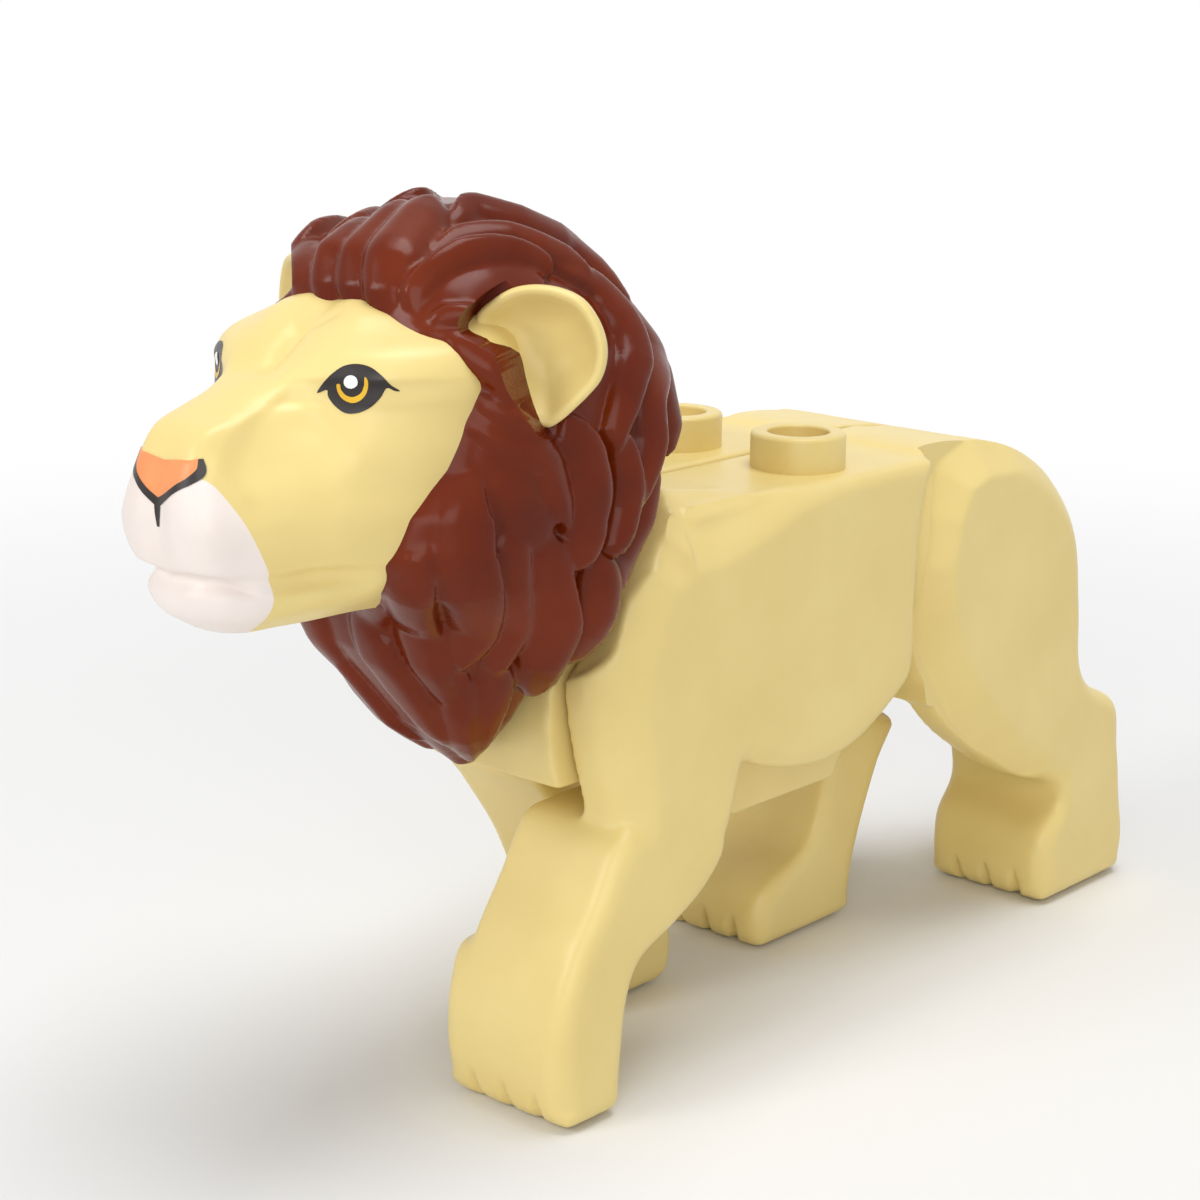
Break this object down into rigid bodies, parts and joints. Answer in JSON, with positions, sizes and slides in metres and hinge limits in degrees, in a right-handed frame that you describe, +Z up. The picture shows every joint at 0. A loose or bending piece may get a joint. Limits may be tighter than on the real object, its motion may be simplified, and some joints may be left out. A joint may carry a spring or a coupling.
{
  "type": "toy lion figure",
  "caption": "Standing moulded-plastic toy lion with a tan body, hollow round studs on its back, a face framed by a reddish-brown mane of overlapping locks, and a head that turns.",
  "frame": {"origin": "on the ground under the middle of the figure's outline box", "axes": "+Z up, the lion faces -Y with its tail towards +Y, and its left side is +X"},
  "size_m": [0.0204, 0.0711, 0.043],
  "materials": {
    "tan": "semi-gloss moulded",
    "brown": "semi-gloss moulded"
  },
  "bodies": {
    "body": {"left_half": "tan", "right_half": "tan", "chest": "tan", "neck_pin": "tan", "tail": "tan", "tail_tuft": "brown"},
    "head": {"head": "tan", "mane": "brown"}
  },
  "joints": [
    {"name": "neck_turn", "type": "hinge", "parent": "body", "child": "head", "pos_m": [0, -0.0126, 0.0256], "axis": [0, -0.7071, 0.7071], "range_deg": [-30, 30]}
  ]
}
